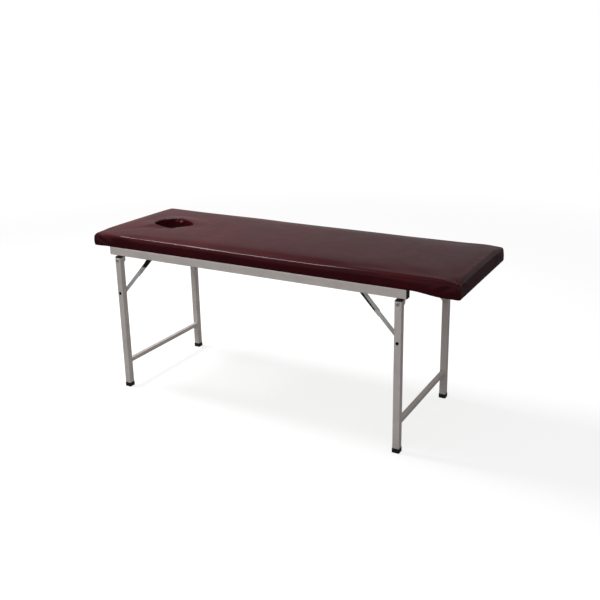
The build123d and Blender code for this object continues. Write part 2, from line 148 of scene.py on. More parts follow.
def ramp(tree, value, stops):
    """Colour ramp through (position, linear colour) stops."""
    made = add_node(tree, "ValToRGB", {"Fac": value})
    elements = made.color_ramp.elements
    while len(elements) < len(stops):
        elements.new(0.5)
    for element, (position, colour) in zip(elements, stops):
        element.position = position
        element.color = (*colour, 1.0)
    return made.outputs["Color"]


def spread(tree, value, low, high, out_low, out_high):
    """Value mapped from one range to another, held at its ends."""
    inputs = {"Value": value, "From Min": low, "From Max": high, "To Min": out_low, "To Max": out_high}
    return add_node(tree, "MapRange", inputs).outputs["Result"]


def maths(tree, operation, first, second):
    """Result of a maths operation on two values."""
    return add_node(tree, "Math", {0: first, 1: second}, operation=operation).outputs[0]


def mix_colours(tree, share, first, second):
    """Two colours mixed by a share; colours are sockets or linear triples."""
    made = add_node(tree, "Mix", {MIX_SHARE: share}, data_type="RGBA")
    for slot, value in ((MIX_FIRST, first), (MIX_SECOND, second)):
        if isinstance(value, bpy.types.NodeSocket):
            tree.links.new(value, made.inputs[slot])
        else:
            made.inputs[slot].default_value = (*value, 1.0)
    return made.outputs[MIX_RESULT]


def mix_shaders(tree, share, first, second):
    """Two shaders mixed by a share."""
    return add_node(tree, "MixShader", {0: share, 1: first, 2: second}).outputs[0]


def bump(tree, height, distance, strength=1.0, below=None):
    """Bump normal from a height, on top of another one."""
    inputs = {"Height": height, "Distance": distance, "Strength": strength}
    if below is not None:
        inputs["Normal"] = below
    return add_node(tree, "Bump", inputs).outputs["Normal"]


def linear(red, green, blue):
    """Linear colour from a display colour in 0 to 255."""
    shares = (red / 255, green / 255, blue / 255)
    return tuple(share / 12.92 if share <= 0.04045 else ((share + 0.055) / 1.055) ** 2.4 for share in shares)


def shaded(colour, factor):
    """Colour made lighter or darker by a factor."""
    return tuple(min(1.0, level * factor) for level in colour)


# Materials

GLOSS_TINT = (1.0, 0.72, 0.76, 1.0)
GRAIN_SCALE = 620.0
# Painted shade on the upper stay links: its black, how far its border wanders, and how soft its border and
# top edge are
PAINTED_SHADE_BLACK = linear(24, 22, 22)
SHADE_BORDER_SHIFT = 0.0012
SHADE_BORDER_BLUR = 0.0015
SHADE_TOP_BLUR = 0.004


def vinyl_material(name="vinyl"):
    """Dark burgundy upholstery vinyl with a fine pressed grain and a soft gloss."""
    material, tree, shader = make_material(name)
    cloudy = noise_value(tree, scale=5.0, detail=4.0, rough=0.6)
    shades = [(0.3, linear(51, 8, 14)), (0.5, linear(56, 9, 16)), (0.72, linear(62, 11, 19))]
    base = ramp(tree, cloudy, shades)
    speck = noise_value(tree, scale=900.0, detail=2.0)
    base = mix_colours(tree, spread(tree, speck, 0.3, 0.7, 0.0, 0.18), base, linear(32, 7, 11))
    tree.links.new(base, shader.inputs["Base Color"])
    handled = noise_value(tree, scale=9.0, detail=5.0, rough=0.65, distortion=0.4)
    tree.links.new(spread(tree, handled, 0.3, 0.7, 0.40, 0.50), shader.inputs["Roughness"])
    grain = {"Vector": stretched(tree, (1, 1, 1)), "Scale": GRAIN_SCALE, "Smoothness": 0.5}
    cells = add_node(tree, "TexVoronoi", grain, feature="SMOOTH_F1").outputs["Distance"]
    pores = bump(tree, cells, distance=0.00018, strength=0.5)
    slack = noise_value(tree, scale=26.0, detail=3.0, rough=0.5)
    tree.links.new(bump(tree, slack, distance=0.0016, strength=0.25, below=pores), shader.inputs["Normal"])
    shader.inputs["IOR"].default_value = 1.1
    shader.inputs["Coat Weight"].default_value = 0.26
    shader.inputs["Coat Roughness"].default_value = 0.16
    shader.inputs["Specular Tint"].default_value = GLOSS_TINT
    return material


def coat_material(name, colour, dirt=0.35, metal=0.0):
    """Powder-coated steel with faint orange peel, rubbed patches and a little grime."""
    material, tree, shader = make_material(name)
    patches = noise_value(tree, scale=7.0, detail=5.0, rough=0.6)
    base = ramp(tree, patches, [(0.3, shaded(colour, 0.9)), (0.52, colour), (0.75, shaded(colour, 1.07))])
    specks = noise_value(tree, scale=260.0, detail=3.0, rough=0.7)
    base = mix_colours(tree, spread(tree, specks, 0.66, 0.74, 0.0, dirt), base, shaded(colour, 0.45))
    streaks = noise_value(tree, scale=30.0, detail=4.0, rough=0.6, stretch=(1, 1, 0.12))
    base = mix_colours(tree, spread(tree, streaks, 0.55, 0.8, 0.0, 0.22), base, shaded(colour, 0.72))
    tree.links.new(base, shader.inputs["Base Color"])
    rubbed = noise_value(tree, scale=40.0, detail=4.0)
    tree.links.new(spread(tree, rubbed, 0.3, 0.7, 0.33, 0.5), shader.inputs["Roughness"])
    peel = noise_value(tree, scale=520.0, detail=2.0)
    tree.links.new(bump(tree, peel, distance=0.00012, strength=0.6), shader.inputs["Normal"])
    shader.inputs["Metallic"].default_value = metal
    shader.inputs["IOR"].default_value = 1.4
    return material


def stay_material_with_painted_shade(name, across, low, high, above):
    """Light plated steel, with painted shade: black above a height, over part of its reach one way, where the
    rails and the link's own channel cast shadow.
    """
    material = coat_material(name, linear(198, 198, 194), dirt=0.5, metal=0.2)
    tree = material.node_tree
    colour = tree.nodes["Principled BSDF"].inputs["Base Color"]
    place = object_place(tree)
    reach = add_node(tree, "VectorMath", {0: place, 1: across}, operation="DOT_PRODUCT").outputs["Value"]
    wander = spread(tree, noise_value(tree, scale=240.0, detail=3.0), 0.3, 0.7, -SHADE_BORDER_SHIFT, SHADE_BORDER_SHIFT)
    ragged = maths(tree, "ADD", reach, wander)
    inside = spread(tree, ragged, low, low + SHADE_BORDER_BLUR, 0.0, 1.0)
    outside = spread(tree, ragged, high, high + SHADE_BORDER_BLUR, 1.0, 0.0)
    raised = add_node(tree, "SeparateXYZ", {0: place}).outputs["Z"]
    top = spread(tree, raised, above, above + SHADE_TOP_BLUR, 0.0, 1.0)
    painted_shade_mask = maths(tree, "MULTIPLY", maths(tree, "MULTIPLY", inside, outside), top)
    # Painted shade: the masked zone is mixed to black where the rails and the link's channel shade it
    tree.links.new(mix_colours(tree, painted_shade_mask, colour.links[0].from_socket, PAINTED_SHADE_BLACK), colour)
    return material


def plated_material(name, colour, rough=0.32, metal=1.0):
    """Zinc-plated or blackened steel fastener."""
    material, tree, shader = make_material(name)
    dull = noise_value(tree, scale=180.0, detail=4.0, rough=0.6)
    base = mix_colours(tree, spread(tree, dull, 0.35, 0.7, 0.0, 0.5), colour, shaded(colour, 0.55))
    tree.links.new(base, shader.inputs["Base Color"])
    worn = noise_value(tree, scale=300.0, detail=3.0)
    tree.links.new(spread(tree, worn, 0.3, 0.7, rough, rough + 0.16), shader.inputs["Roughness"])
    fine = noise_value(tree, scale=900.0, detail=2.0)
    tree.links.new(bump(tree, fine, distance=0.00006, strength=0.5), shader.inputs["Normal"])
    shader.inputs["Metallic"].default_value = metal
    return material


def plastic_material(name, colour, rough=0.45):
    """Moulded plastic with a fine spark texture and scuffed high spots."""
    material, tree, shader = make_material(name)
    scuffs = noise_value(tree, scale=85.0, detail=5.0, rough=0.7)
    scuffed = tuple(min(1.0, level * 1.6 + 0.012) for level in colour)
    base = mix_colours(tree, spread(tree, scuffs, 0.56, 0.72, 0.0, 0.35), colour, scuffed)
    tree.links.new(base, shader.inputs["Base Color"])
    worn = noise_value(tree, scale=120.0, detail=3.0)
    tree.links.new(spread(tree, worn, 0.3, 0.7, rough, rough + 0.15), shader.inputs["Roughness"])
    spark = noise_value(tree, scale=1400.0, detail=2.0)
    tree.links.new(bump(tree, spark, distance=0.00008, strength=0.7), shader.inputs["Normal"])
    return material


def plywood_material(name="plywood"):
    """Bare birch plywood: long grain along the board, darker latewood, fine open pores."""
    material, tree, shader = make_material(name)
    figure = noise_value(tree, scale=9.0, detail=6.0, rough=0.62, stretch=(0.12, 1, 1), distortion=0.8)
    fibres = noise_value(tree, scale=260.0, detail=4.0, rough=0.6, stretch=(0.03, 1, 1))
    base = ramp(tree, figure, [(0.28, linear(176, 138, 96)), (0.46, linear(203, 168, 124)),
                               (0.6, linear(214, 183, 141)), (0.8, linear(190, 152, 108))])
    base = mix_colours(tree, spread(tree, fibres, 0.45, 0.75, 0.0, 0.4), base, linear(150, 112, 74))
    tree.links.new(base, shader.inputs["Base Color"])
    tree.links.new(spread(tree, fibres, 0.3, 0.7, 0.55, 0.75), shader.inputs["Roughness"])
    tree.links.new(bump(tree, fibres, distance=0.0003, strength=0.5), shader.inputs["Normal"])
    return material


# Floor, sky and lamps

FLOOR_SIZE = 120
FLOOR_DROP = 0.0004
FLOOR_COLOUR = (0.36, 0.36, 0.36, 1.0)
FLOOR_LIFT = 0.77
FLOOR_GLOSS = 0.12
BACKDROP_GLOSS = 0.52
# Where the floor fades to white, and how much further out that is when it is seen in a gloss
FADE = (2.6, 5.0)
FADE_IN_GLOSS = 0.35
WHITE = (1, 1, 1, 1)
SKY_LEVEL = 0.28
SKY_GLOSS = 0.52
SKY_GLOSS_HIGH = 0.16
SKY_TURN = (0.42, 0.72)
# Each lamp's name, place, aim, size and power, and whether a gloss shows it
LAMPS = (
    ("overhead", (-1.39, -0.1, 2.7), (-0.8, 0, 0), (1.05, 1.4), 92, True),
    ("key", (2.7, -2.8, 1.3), (0.2, 0, 0.4), (1.6, 1.2), 8, True),
    ("fill", (0.2, -3.0, 2.1), (-0.1, -0.2, 0.6), (2.4, 1.4), 19, False),
    ("back", (2.6, 3.6, 2.0), (0, 0, 0.6), (3.6, 2.4), 8, False),
)


def make_floor():
    """Pale floor that keeps the table's shadow and fades to white further out."""
    bpy.ops.mesh.primitive_plane_add(size=FLOOR_SIZE, location=(0, 0, -FLOOR_DROP))
    floor = bpy.context.object
    floor.name = "floor"
    material, tree, shader = make_material("floor")
    tree.nodes.remove(shader)
    path = add_node(tree, "LightPath").outputs
    gloss = path["Is Glossy Ray"]
    seen = maths(tree, "MAXIMUM", path["Is Camera Ray"], gloss)
    seen = maths(tree, "MAXIMUM", seen, path["Is Transmission Ray"])
    lift = spread(tree, gloss, 0, 1, FLOOR_LIFT, FLOOR_GLOSS)
    backdrop = spread(tree, gloss, 0, 1, 1.0, BACKDROP_GLOSS)
    pale = add_node(tree, "BsdfDiffuse", {"Color": FLOOR_COLOUR}).outputs[0]
    glow = add_node(tree, "Emission", {"Color": WHITE, "Strength": lift}).outputs[0]
    plain = add_node(tree, "Emission", {"Color": WHITE, "Strength": backdrop}).outputs[0]
    lifted = add_node(tree, "AddShader", {0: pale, 1: glow}).outputs[0]
    near = mix_shaders(tree, seen, pale, mix_shaders(tree, gloss, lifted, glow))
    reach = add_node(tree, "VectorMath", {0: object_place(tree)}, operation="LENGTH").outputs["Value"]
    reach = maths(tree, "MULTIPLY", reach, spread(tree, gloss, 0, 1, 1.0, FADE_IN_GLOSS))
    far = maths(tree, "MULTIPLY", spread(tree, reach, *FADE, 0.0, 1.0), seen)
    tree.links.new(mix_shaders(tree, far, near, plain), tree.nodes["Material Output"].inputs["Surface"])
    floor.data.materials.append(material)
    floor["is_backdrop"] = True


def make_sky():
    """Plain white sky, weaker as a light and in a gloss, and weakest in a gloss that faces up."""
    world = bpy.data.worlds.new("world")
    bpy.context.scene.world = world
    world.use_nodes = True
    tree = world.node_tree
    sky = tree.nodes["Background"]
    path = add_node(tree, "LightPath").outputs
    seen = maths(tree, "MAXIMUM", path["Is Camera Ray"], path["Is Transmission Ray"])
    direction = add_node(tree, "TexCoord").outputs["Generated"]
    up = add_node(tree, "SeparateXYZ", {0: direction}).outputs["Z"]
    gloss = spread(tree, up, *SKY_TURN, SKY_GLOSS, SKY_GLOSS_HIGH)
    level = spread(tree, path["Is Glossy Ray"], 0, 1, SKY_LEVEL, gloss)
    sky.inputs["Color"].default_value = WHITE
    tree.links.new(maths(tree, "MAXIMUM", level, seen), sky.inputs["Strength"])


def make_lamps():
    """Soft rectangular lamps round the table."""
    for name, place, aim, size, power, mirrored in LAMPS:
        data = bpy.data.lights.new(name, "AREA")
        data.shape = "RECTANGLE"
        data.size, data.size_y = size
        data.energy = power
        lamp = bpy.data.objects.new(name, data)
        lamp.location = place
        lamp.rotation_euler = (Vector(aim) - Vector(place)).to_track_quat("-Z", "Y").to_euler()
        lamp.visible_glossy = mirrored
        bpy.context.collection.objects.link(lamp)


# Curves that the cover's forms are made of


def climb(value, start, run):
    """Even rise from 0 to 1 over a run past a start; a negative run makes it a fall to 0 at the start."""
    return np.clip((value - start) / run, 0, 1)


def ease(value, start, run):
    """The same rise or fall with soft ends."""
    share = climb(value, start, run)
    return share**2 * (3 - 2 * share)


def bell(value, size, centre, width):
    """Rounded hill of a size about a centre."""
    return size * np.exp(-(((value - centre) / width) ** 2))


def bend(start, full, inset):
    """Drop of a surface that starts to bend down at one inset and slopes by one in one from the next."""
    reach = np.clip(start - inset, 0, start - full)
    return reach**2 / (2 * (start - full)) + np.clip(full - inset, 0, None)


# Pad: its sizes from the solids, its crown, and how far the folded corners pull the top down

COVER_LOW, COVER_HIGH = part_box("vinyl_cover")
HALF_LENGTH = COVER_HIGH.x
HALF_WIDTH = COVER_HIGH.y
PAD_BOTTOM = COVER_LOW.z
BOARD_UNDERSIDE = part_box("base_board")[0].z
CROWN = 0.005
END_CROWN = 0.003
END_FALL = 0.0015
EDGE_TOP = COVER_HIGH.z - CROWN
CORNER_PULL, FOOT_PULL = 0.0005, 0.0085
CORNER_REACH, FOOT_REACH = 0.03, 0.035


def insets(x, y):
    """Distances in from the nearest end and from the nearest side."""
    return HALF_LENGTH - np.abs(x), HALF_WIDTH - np.abs(y)


def top_height(x, y):
    """Height of the crowned top, with its corners pulled down a touch by the folded cover."""
    along = (x / HALF_LENGTH) ** 2
    across = np.clip(np.abs(y) / HALF_WIDTH, 0, 1) ** 2
    crowned = EDGE_TOP - END_FALL * along + (CROWN - (CROWN - END_CROWN) * along) * (1 - across)
    foot = np.clip(x / HALF_LENGTH, 0, 1) ** 4
    from_corner = np.hypot(*insets(x, y))
    return crowned - bell(from_corner, CORNER_PULL + FOOT_PULL * foot, 0, CORNER_REACH + FOOT_REACH * foot)


# Face hole: brow arc and chin arc, each a place along X and a radius, and the cheek arcs that touch both

BROW = (-0.675, 0.074)
CHIN = (-0.577, 0.035)
CHEEK = 0.250
ARC_POINTS = 80
RIM = 0.005
# Puffed rim, by direction in degrees about the hole's middle, in tenths of a millimetre
HOLE_MIDDLE = -0.66
PUFF_WIDTH = 0.085
PUFF_UNIT = 0.0001
PUFF_TURNS = (-180, -165, -150, -130, -112, -95, -80, -62, -50, -36, -14, 0, 25, 60, 100, 125, 150, 180)
PUFF_HEIGHTS = (30, 55, 75, 90, 78, 40, -10, -50, -45, 0, 30, 40, 60, 85, 95, 85, 45, 30)
# Lining: its gathers by width in outline points and by depth, and two deeper tucks under the rim
GATHER_WIDTH = (3.0, 6.5)
GATHER_DEPTH = (0.0008, 0.0034)
GATHER_FOOT = 0.86
TUCKS = ((-0.655, 0.075, 0.0155), (-0.685, 0.075, 0.0065))
TUCK_WIDTH = 0.0105
TUCK_TOP, TUCK_BOTTOM = (0.001, 0.0125), (0.030, -0.010)
LINING_FLANGE = 0.040


def hole_outline(count, grow):
    """Points evenly spaced along the face hole's outline from its head end, anticlockwise from below."""
    (brow_x, brow), (chin_x, chin) = BROW, CHIN
    gap = chin_x - brow_x
    run = ((CHEEK - brow) ** 2 - (CHEEK - chin) ** 2 + gap**2) / (2 * gap)
    drop = -math.sqrt((CHEEK - brow) ** 2 - run**2)
    cheek_x = brow_x + run
    brow_turn = math.atan2(-drop, brow_x - cheek_x)
    chin_turn = math.atan2(-drop, chin_x - cheek_x)
    arcs = (
        (brow_x, 0.0, brow + grow, math.pi, brow_turn),
        (cheek_x, drop, CHEEK + grow, brow_turn, chin_turn),
        (chin_x, 0.0, chin + grow, chin_turn, 0.0),
    )
    half = []
    for x, y, radius, start, end in arcs:
        turn = np.linspace(start, end, ARC_POINTS)
        half.append(np.column_stack((x + radius * np.cos(turn), y + radius * np.sin(turn))))
    half = np.vstack(half)
    whole = np.vstack((half, half[::-1] * (1, -1)))
    steps = np.r_[0, np.cumsum(np.hypot(*np.diff(whole, axis=0).T))]
    places = np.linspace(0, steps[-1], count, endpoint=False)
    return np.column_stack([np.interp(places, steps, whole[:, axis]) for axis in (0, 1)])


def rim_puff(flat, distance):
    """Height of the uneven padded roll round the face hole, by direction and distance outside its edge."""
    turn = np.degrees(np.arctan2(flat[:, 1], flat[:, 0] - HOLE_MIDDLE))
    height = np.interp(turn, PUFF_TURNS, PUFF_HEIGHTS) * PUFF_UNIT
    share = np.clip(distance / PUFF_WIDTH, 0, 1)
    return height * (0.5 + 0.5 * np.cos(math.pi * share)) ** 1.2


def gathers(count):
    """Uneven upright folds of the lining round the face hole, as the depth of each outline point."""
    folds = np.zeros(count)
    spots = np.arange(count)
    place = 0.0
    while place < count - 3:
        width = RNG.uniform(*GATHER_WIDTH)
        away = np.abs(spots - place)
        away = np.minimum(away, count - away)
        folds += bell(away, RNG.uniform(*GATHER_DEPTH), 0, 0.32 * width)
        place += 1.35 * width
    return folds


def gather_share(share):
    """How deep the gathers are some way down the lining: full half-way, slight at the foot."""
    if share < GATHER_FOOT:
        return math.sin(math.pi * min(1.0, share * 1.15)) ** 0.7
    return 0.4


def wall_outline(count, pinch):
    """The face hole's outline with its lining pulled out of line by the folds."""
    flat = hole_outline(count, 0.0)
    ahead = np.roll(flat, -1, axis=0) - np.roll(flat, 1, axis=0)
    inward = np.column_stack((ahead[:, 1], -ahead[:, 0])) / np.hypot(*ahead.T)[:, None]
    centre = flat.mean(axis=0)
    inward *= np.sign(((centre - flat) * inward).sum(axis=1))[:, None]
    return flat + inward * np.asarray(pinch)[..., None]


# Long edges: a gentle fall, then a tight turn. The line is wide about one place and softer to the foot.

NEAR_LINE = ((-0.76, 0.12), (0.56, -0.30))
FAR_LINE = ((-0.35, 0.2), (0.7, -0.3))
FAR_SIZE = 0.35
LINE_WAVES = ((0.0012, 9, 0), (0.0008, 23, 1))
LINE_SOFT = (-0.40, 0.35)
LINE_WIDE = (1, -0.24, 0.15)
LINE_HEAD = (-0.56, -0.16)
NOTCHES = ((-0.417, 0.0011), (-0.280, 0.0004), (-0.120, 0.0006), (0.060, 0.0004))
NOTCH_LENGTH = 0.010
NOTCH_INSET = (1, 0.018, 0.014)


def crease(x, y):
    """Height of the cover by the long edges, with a few short notches in the line of the near one."""
    inset = insets(x, y)[1]
    near = ease(x, *NEAR_LINE[0]) * ease(x, *NEAR_LINE[1])
    far = FAR_SIZE * ease(x, *FAR_LINE[0]) * ease(x, *FAR_LINE[1])
    wave = sum(size * np.sin(pace * x + start) for size, pace, start in LINE_WAVES)
    soft = ease(x, *LINE_SOFT)
    wide = bell(x, *LINE_WIDE)
    slope = 0.18 - 0.02 * wide + 0.06 * soft
    fall = slope * bend(0.042 + 0.020 * soft + wave, 0.034 + wave, inset)
    turn = 0.46 - 0.22 * wide - 0.16 * ease(x, *LINE_HEAD)
    roll = turn * bend(0.0155 + 0.0040 * wide + wave, 0.0120 + 0.0015 * wide + wave, inset)
    notch = sum(bell(x, depth, place, NOTCH_LENGTH) for place, depth in NOTCHES)
    notch *= bell(inset, *NOTCH_INSET) * (y < 0)
    return -np.where(y < 0, near, far) * (fall + roll) - notch


# Shoulder, the rolled top edge: its radius, and how that changes towards corners and ends, by inset or by X

SHOULDER = 0.012
HEAD_PATCH = (0.011, 0.045, 0.075)
HEAD_PATCH_REACH = (0.12, -0.10)
HEAD_TIGHT = (0.0040, 0, 0.045)
FOOT_WIDE = (0.009, 0, 0.16)
FOOT_CORNER = (0.011, 0, 0.022)
FOOT_HALF = (0.25, 0.3)
FOOT_HALF_SIZE = 0.012
FOOT_HALF_END = (1, 0, 0.10)


def shoulder_radius(x, y):
    """Radius of the shoulder: a soft patch near the near head corner, a tight head end, a full foot half."""
    along, across = insets(x, y)
    corner = ease(across, *HEAD_PATCH_REACH) * (y < 0)
    head = bell(along, *HEAD_PATCH) * corner - bell(along, *HEAD_TIGHT) * (1 - corner)
    foot = bell(along, *FOOT_WIDE) - bell(np.hypot(along, across), *FOOT_CORNER)
    foot += FOOT_HALF_SIZE * ease(x, *FOOT_HALF) * (1 - bell(along, *FOOT_HALF_END))
    return SHOULDER + np.where(x < 0, head, foot)


# Folds that close the corners: darts on the top, slanting folds on the sides, and a pleat down each corner

DART_REACH = 0.055
DART_SLANT = 0.8
DART_WIDTH = 0.004
HEAD_DART, FOOT_DART = 0.0006, 0.0028
FOLD_START = (0.031, 0.012)
FOLD_SLOPE = 0.556
FOLD_COSINE = 0.87
FOLD_PUFF = (0.0030, -0.012, 0.010)
FOLD_DRAW = (0.0028, 0.008, 0.009)
FOLD_REACH = 0.125
FOLD_FROM_CORNER, FOLD_FROM_HEM, FOLD_FROM_TOP = (0, 0.014), (0.004, 0.012), (0, 0.010)
# Sizes of the slanting folds at the near and far head corners, then at the near and far foot corners
SIDE_FOLDS = (1.0, 0.8, 0.3, 0.3)
END_FOLDS = (0.5, 0.5, 0.4, 0.9)
SIDE_BAND = 0.012
DART_BAND = 0.010
CREASE_BAND = (-0.044, 0.038)
PLEAT_ROWS = 15
PLEAT_TOP, PLEAT_FOOT = 0.006, 0.0015
PLEAT_COLUMNS = (0.0, 0.3, 0.6, 0.85, 0.97, 1.0, 1.0)
PLEAT_LIFTS = (-0.0006, 0.0006, 0.0011, 0.0015, 0.0015, 0.0008, -0.0010)
# Hem: how far it hangs below the board past the ends of the rails
HEM_SLUMP, HEAD_SLUMP = 0.0105, 0.002
SLUMP_FOOT, SLUMP_HEAD = (0.705, 0.13), (0.815, 0.06)


def dart(x, y):
    """Height of the short folds that run in from each corner of the top."""
    along, across = insets(x, y)
    reach = np.clip(1 - np.maximum(along, across) / DART_REACH, 0, 1)
    return -bell(along - DART_SLANT * across, np.where(x < 0, HEAD_DART, FOOT_DART) * reach, 0, DART_WIDTH)


def corner_pull(along, z):
    """How far a side stands out near its corner: puffed above a slanting fold, drawn in below it."""
    drop = EDGE_TOP - z
    below = FOLD_COSINE * (drop - FOLD_START[1] - FOLD_SLOPE * (along - FOLD_START[0]))
    held = climb(along, *FOLD_FROM_CORNER) * np.exp(-((along / FOLD_REACH) ** 4))
    held *= ease(z - PAD_BOTTOM, *FOLD_FROM_HEM) * ease(drop, *FOLD_FROM_TOP)
    return held * (bell(below, *FOLD_PUFF) - bell(below, *FOLD_DRAW))


def by_corner(x, y, sizes):
    """The size that belongs to the corner nearest to each place."""
    return np.asarray(sizes)[2 * (x >= 0) + (y >= 0)]


def hem_slump(x):
    """How far the loose hem hangs below the board."""
    return HEM_SLUMP * ease(x, *SLUMP_FOOT) + HEAD_SLUMP * climb(-x, *SLUMP_HEAD)


def press_folds(mesh):
    """Edge rolls, darts and corner folds, pressed in after the cover has settled."""
    spots = read_points(mesh)
    x, y, z = spots.T.copy()
    along, across = insets(x, y)
    spots[:, 2] += crease(x, y) * ease(z - EDGE_TOP, *CREASE_BAND)
    spots[:, 2] += np.where(z > EDGE_TOP - DART_BAND, dart(x, y), 0)
    side_pull = by_corner(x, y, SIDE_FOLDS) * np.sign(y) * corner_pull(along, z)
    spots[:, 1] += np.where(across < SIDE_BAND, side_pull, 0)
    end_pull = by_corner(x, y, END_FOLDS) * np.sign(x) * corner_pull(across, z)
    spots[:, 0] += np.where(along < SIDE_BAND, end_pull, 0)
    mesh.vertices.foreach_set("co", spots.ravel())
    mesh.update()


def corner_fold(surface, side_x, side_y):
    """Points and faces of the folded pleat that closes the cover down one corner, laid on the long side."""
    top = EDGE_TOP - PLEAT_TOP
    foot = PAD_BOTTOM + PLEAT_FOOT - float(hem_slump(side_x * 0.88))
    points = []
    for share in np.linspace(0, 1, PLEAT_ROWS):
        z = top + (foot - top) * share
        width = 0.006 + 0.012 * share + 0.0015 * math.sin(5 * share + side_x + 2 * side_y)
        for place, lift in zip(PLEAT_COLUMNS, PLEAT_LIFTS):
            x = side_x * (HALF_LENGTH - CORNER - width * place)
            start = Vector((x, side_y * (HALF_WIDTH + 0.05), z))
            hit = surface.ray_cast(start, Vector((0, -side_y, 0)))[0]
            if hit is None:
                hit = surface.find_nearest(start)[0]
            points.append(hit + Vector((0, side_y, 0)) * lift)
    return points, sheet_faces(PLEAT_ROWS, len(PLEAT_COLUMNS), False)


def add_folds(mesh):
    """Adds the four corner pleats to the cover's mesh."""
    made = bmesh.new()
    made.from_mesh(mesh)
    surface = BVHTree.FromBMesh(made)
    for side_x in (-1, 1):
        for side_y in (-1, 1):
            points, faces = corner_fold(surface, side_x, side_y)
            spots = [made.verts.new(point) for point in points]
            for face in faces:
                order = face if side_x * side_y > 0 else face[::-1]
                made.faces.new([spots[i] for i in order])
    made.to_mesh(mesh)
    made.free()


# Sheet of the cover, as grids of quads. A field and the rings round the face hole make the top. The frame
# round them holds the shoulder, the sides, the hem's small roll and the wrap under the board.

CORNER = 0.006
FRAME_INSET = 0.040
FIELD_X, FIELD_Y = HALF_LENGTH - FRAME_INSET, HALF_WIDTH - FRAME_INSET
FIELD_SPLIT = -0.450
STEP = 0.012
SHORT_STEPS = (4, 4, 5, 6, 8, 9)
MILLIMETRE = 0.001
TINY = 1e-9
WELD_GAP = 0.00002
SKIN = 0.0001
RING_SHARES = (1.0, 0.90, 0.80, 0.70, 0.60, 0.50, 0.40, 0.31, 0.23, 0.16, 0.10, 0.05, 0)
RIM_TURNS = (15, 30, 45, 60, 75, 90)
WALL_SHARES = (0.04, 0.08, 0.12, 0.16, 0.2, 0.24, 0.28, 0.36, 0.48, 0.6, 0.72, 0.86, 1.0)
WALL_FOOT = 0.002
FOOT_ROLL = (0.001, 0.0004)
FLANGE_STEPS = (0.004, 0.013, 0.026, LINING_FLANGE)
SHOULDER_SHARES = (0.0, 0.25, 0.45, 0.6, 0.7, 0.8, 0.9, 1.0)
SHOULDER_TURNS = (13, 26, 39, 52, 65, 78, 90)
SHOULDER_LIP = 0.001
FLAT_LEAST = 0.006
# Sides, drawn in by so much at shares of the way down, then flared where the hem slumps
SIDE_DRAWS = ((0.17, 0.0006), (0.34, 0.0003), (0.5, 0.0003), (0.67, 0.0007), (0.84, 0.0013), (1.0, 0.0022))
HEM_DRAW = 0.0022
HEM_RADIUS = 0.0025
HEM_TURNS = (30, 60, 90)
HEM_FLARE = 0.0035
WRAP = 0.060
UNDER_ROWS = ((0.012, 0.9), (0.022, 0.35), (0.034, 0.0), (0.047, 0.0), (WRAP, 0.0))


def graded(start, end, edge_steps):
    """Places from start to end: short steps at the ends that ask for them, even ones between."""
    short = np.cumsum(SHORT_STEPS) * MILLIMETRE
    low = start + short if edge_steps[0] else np.array([])
    high = end - short[::-1] if edge_steps[1] else np.array([])
    first = low[-1] if len(low) else start
    last = high[0] if len(high) else end
    count = max(1, round((last - first) / STEP))
    middle = np.linspace(first, last, count + 1)
    return np.unique(np.round(np.r_[start, low, middle, high, end], 7))


def sheet_faces(rows, columns, closed):
    """Quads of a grid of rows by columns, closed round its columns or not."""
    faces = []
    for r in range(rows - 1):
        for c in range(columns if closed else columns - 1):
            d = (c + 1) % columns
            faces.append((r * columns + c, r * columns + d, (r + 1) * columns + d, (r + 1) * columns + c))
    return faces


def outer_outline(sides):
    """Points of the pad's outline with rounded corners, each paired with a point of the field's sides."""
    straight = (2 * (HALF_LENGTH - CORNER), 2 * (HALF_WIDTH - CORNER))
    arc = CORNER * math.pi / 4
    made = []
    starts = ((-1, -1), (1, -1), (1, 1), (-1, 1))
    for index, shares in enumerate(sides):
        run = straight[index % 2]
        sx, sy = starts[index]
        ahead = np.array(((1, 0), (0, 1), (-1, 0), (0, -1))[index])
        out = np.array(((0, -1), (1, 0), (0, 1), (-1, 0))[index])
        first = np.array((sx * (HALF_LENGTH - CORNER), sy * (HALF_WIDTH - CORNER)))
        for share in shares:
            s = share * (run + 2 * arc) - arc
            if s < 0:
                turn = s / CORNER
                point = first + CORNER * (out * math.cos(turn) + ahead * math.sin(turn))
            elif s > run:
                turn = (s - run) / CORNER
                point = first + ahead * run + CORNER * (out * math.cos(turn) + ahead * math.sin(turn))
            else:
                point = first + ahead * s + CORNER * out
            made.append(point)
    return np.array(made)


def head_loop(xs, ys):
    """Points round the head part of the field, from the middle of its head end."""
    head_x = xs[xs <= FIELD_SPLIT + TINY]
    loop = [(-FIELD_X, y) for y in ys[ys > -TINY]]
    loop += [(x, FIELD_Y) for x in head_x[1:]]
    loop += [(FIELD_SPLIT, y) for y in ys[::-1][1:]]
    loop += [(x, -FIELD_Y) for x in head_x[::-1][1:]]
    loop += [(-FIELD_X, y) for y in ys[ys < -TINY][1:]]
    return np.array(loop)


